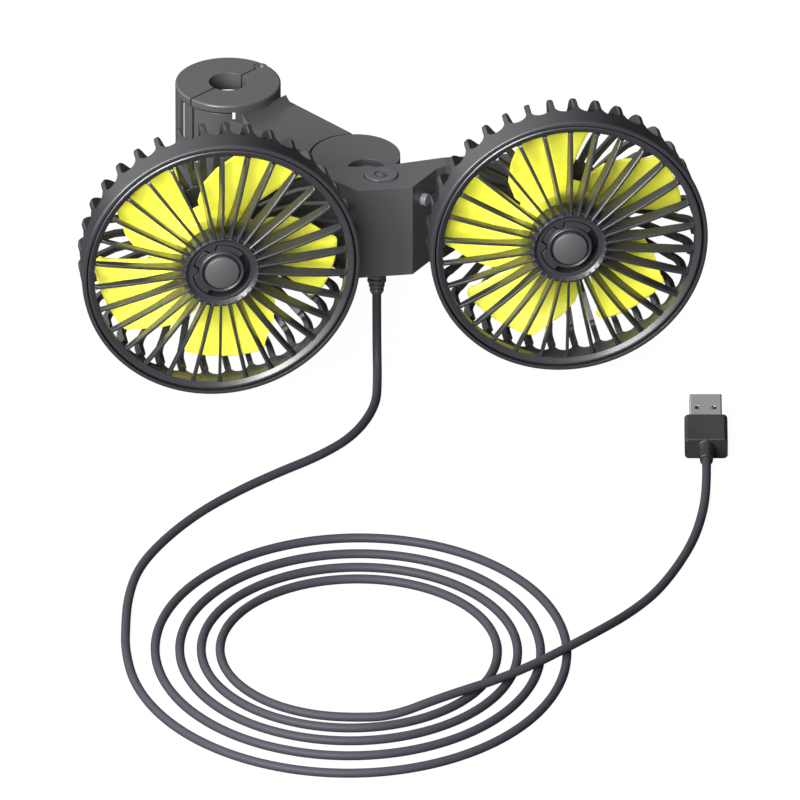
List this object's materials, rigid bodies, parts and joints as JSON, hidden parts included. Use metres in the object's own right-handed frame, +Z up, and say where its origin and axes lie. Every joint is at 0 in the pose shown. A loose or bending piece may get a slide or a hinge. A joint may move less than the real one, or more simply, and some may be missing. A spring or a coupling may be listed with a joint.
{
  "type": "dual-head car fan",
  "caption": "Two caged fans that tilt, pan and swivel on a central housing and arm with a hinged clamp for a headrest post, with a push button and a coiled lead to a plug",
  "frame": {"origin": "on the clamp's bore axis at half the clamp's height", "axes": "+Z is up along the clamp's bore; the fans face -Y at rest; +X runs from the left head to the right head"},
  "size_m": [0.2481, 0.4073, 0.1197],
  "materials": {
    "body_plastic": "satin dark grey injection-moulded ABS",
    "vane_plastic": "satin dark grey ABS of the grilles and cages",
    "blade_plastic": "translucent-looking lime yellow ABS",
    "tongue_plastic": "smooth dark grey nylon",
    "button_plastic": "satin dark grey ABS",
    "lens_plastic": "clear light pipe",
    "screw_steel": "zinc-plated steel",
    "dark_steel": "blackened steel with a bright top",
    "stud_nylon": "pale grey nylon",
    "motor_steel": "drawn steel can",
    "board_laminate": "green solder-masked glass laminate",
    "switch_plastic": "black switch body",
    "cord_rubber": "soft dark grey PVC jacket",
    "gland_rubber": "soft dark grey PVC",
    "plug_rubber": "black overmoulded PVC",
    "plug_chrome": "nickel-plated steel shell",
    "tongue_white": "white plastic tongue",
    "contact_brass": "gold-plated contacts"
  },
  "bodies": {
    "clamp_arm": {"clamp_arm": "body_plastic", "hinge_pin": "screw_steel"},
    "clamp_jaw": {"clamp_jaw": "body_plastic"},
    "housing": {"housing_shell": "body_plastic", "rear_cover": "body_plastic", "cover_screws": "screw_steel", "swivel_axle": "screw_steel", "swivel_washer": "screw_steel", "tension_screw": "dark_steel", "switch_body": "switch_plastic", "circuit_board": "board_laminate", "board_screws": "screw_steel", "side_studs": "stud_nylon", "cord_gland": "gland_rubber", "cord_drop": "cord_rubber", "cord_coil": "cord_rubber", "cord_tail": "cord_rubber", "plug_body": "plug_rubber", "plug_shell": "plug_chrome", "plug_tongue": "tongue_white", "plug_contacts": "contact_brass", "left_pan_pin": "screw_steel", "right_pan_pin": "screw_steel"},
    "power_button": {"power_button": "button_plastic", "button_lens": "lens_plastic"},
    "left_neck": {"left_neck": "body_plastic"},
    "left_head": {"left_front_grille": "vane_plastic", "left_hub_cap": "vane_plastic", "left_hub_dome": "body_plastic", "left_rear_cage": "vane_plastic", "left_motor_can": "motor_steel", "left_pivot_bracket": "body_plastic", "left_bracket_screws": "screw_steel", "left_tilt_pin": "screw_steel"},
    "left_fan": {"left_impeller": "blade_plastic", "left_motor_shaft": "screw_steel"},
    "right_neck": {"right_neck": "body_plastic"},
    "right_head": {"right_front_grille": "vane_plastic", "right_hub_cap": "vane_plastic", "right_hub_dome": "body_plastic", "right_rear_cage": "vane_plastic", "right_motor_can": "motor_steel", "right_pivot_bracket": "body_plastic", "right_bracket_screws": "screw_steel", "right_tilt_pin": "screw_steel"},
    "right_fan": {"right_impeller": "blade_plastic", "right_motor_shaft": "screw_steel"}
  },
  "joints": [
    {"name": "clamp_hinge", "type": "hinge", "parent": "clamp_arm", "child": "clamp_jaw", "pos_m": [0.0139, 0.01047, 0], "axis": [0, 0, -1], "range_deg": [0, 50]},
    {"name": "swivel", "type": "hinge", "parent": "clamp_arm", "child": "housing", "pos_m": [0.04038, -0.05359, 0.00685], "axis": [0, 0, 1], "range_deg": [-20, 60]},
    {"name": "button_press", "type": "slide", "parent": "housing", "child": "power_button", "axis": [0, 0, -1], "range_m": [0, 0.001], "stiffness_N_per_m": 800},
    {"name": "left_pan", "type": "hinge", "parent": "housing", "child": "left_neck", "pos_m": [-0.01865, -0.06473, 0.0012], "axis": [0, 0, -1], "range_deg": [-3, 25]},
    {"name": "left_tilt", "type": "hinge", "parent": "left_neck", "child": "left_head", "pos_m": [-0.01865, -0.0748, 0.0012], "axis": [1, 0, 0], "range_deg": [-30, 30]},
    {"name": "left_fan_spin", "type": "hinge", "parent": "left_head", "child": "left_fan", "pos_m": [-0.01865, -0.0988, 0.0012], "axis": [0, 1, 0], "continuous": true},
    {"name": "right_pan", "type": "hinge", "parent": "housing", "child": "right_neck", "pos_m": [0.11165, -0.06473, 0.0012], "axis": [0, 0, 1], "range_deg": [-3, 25]},
    {"name": "right_tilt", "type": "hinge", "parent": "right_neck", "child": "right_head", "pos_m": [0.11165, -0.0748, 0.0012], "axis": [1, 0, 0], "range_deg": [-30, 30]},
    {"name": "right_fan_spin", "type": "hinge", "parent": "right_head", "child": "right_fan", "pos_m": [0.11165, -0.0988, 0.0012], "axis": [0, 1, 0], "continuous": true}
  ]
}
